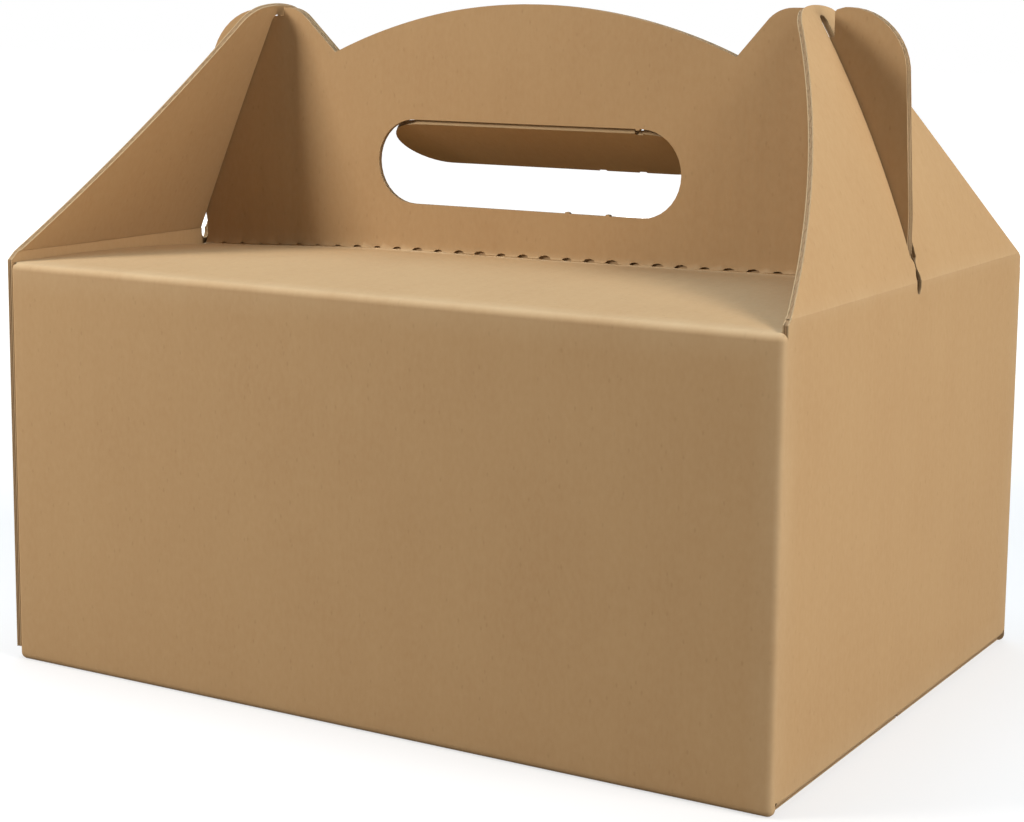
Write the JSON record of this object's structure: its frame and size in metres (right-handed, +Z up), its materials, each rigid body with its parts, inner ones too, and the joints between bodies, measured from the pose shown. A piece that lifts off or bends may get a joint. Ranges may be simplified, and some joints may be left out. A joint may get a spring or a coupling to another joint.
{
  "type": "cardboard carry box",
  "caption": "Closed folded cardboard carry box with a flat roof, upright handle with a hand hole, and sloping end flaps hooked over the handle's ears.",
  "frame": {"origin": "centre of the base at the surface it stands on", "axes": "+X along the long front wall to the right, -Y out of the front wall, +Z up"},
  "size_m": [0.24, 0.174, 0.1909],
  "materials": {
    "kraft_board": "plain uncoated brown board"
  },
  "bodies": {
    "carton": {"carton": "kraft_board"},
    "left_gable_flap": {"left_gable_flap": "kraft_board"},
    "right_gable_flap": {"right_gable_flap": "kraft_board"},
    "hand_hole_flap": {"hand_hole_flap": "kraft_board"}
  },
  "joints": [
    {"name": "left_gable_hinge", "type": "hinge", "parent": "carton", "child": "left_gable_flap", "pos_m": [-0.12, 0, 0.119], "axis": [0, -1, 0], "range_deg": [0, 115]},
    {"name": "right_gable_hinge", "type": "hinge", "parent": "carton", "child": "right_gable_flap", "pos_m": [0.12, 0, 0.119], "axis": [0, 1, 0], "range_deg": [0, 115]},
    {"name": "hand_hole_hinge", "type": "hinge", "parent": "carton", "child": "hand_hole_flap", "pos_m": [0, -0.0002, 0.156], "axis": [1, 0, 0], "range_deg": [-59, 12]}
  ]
}
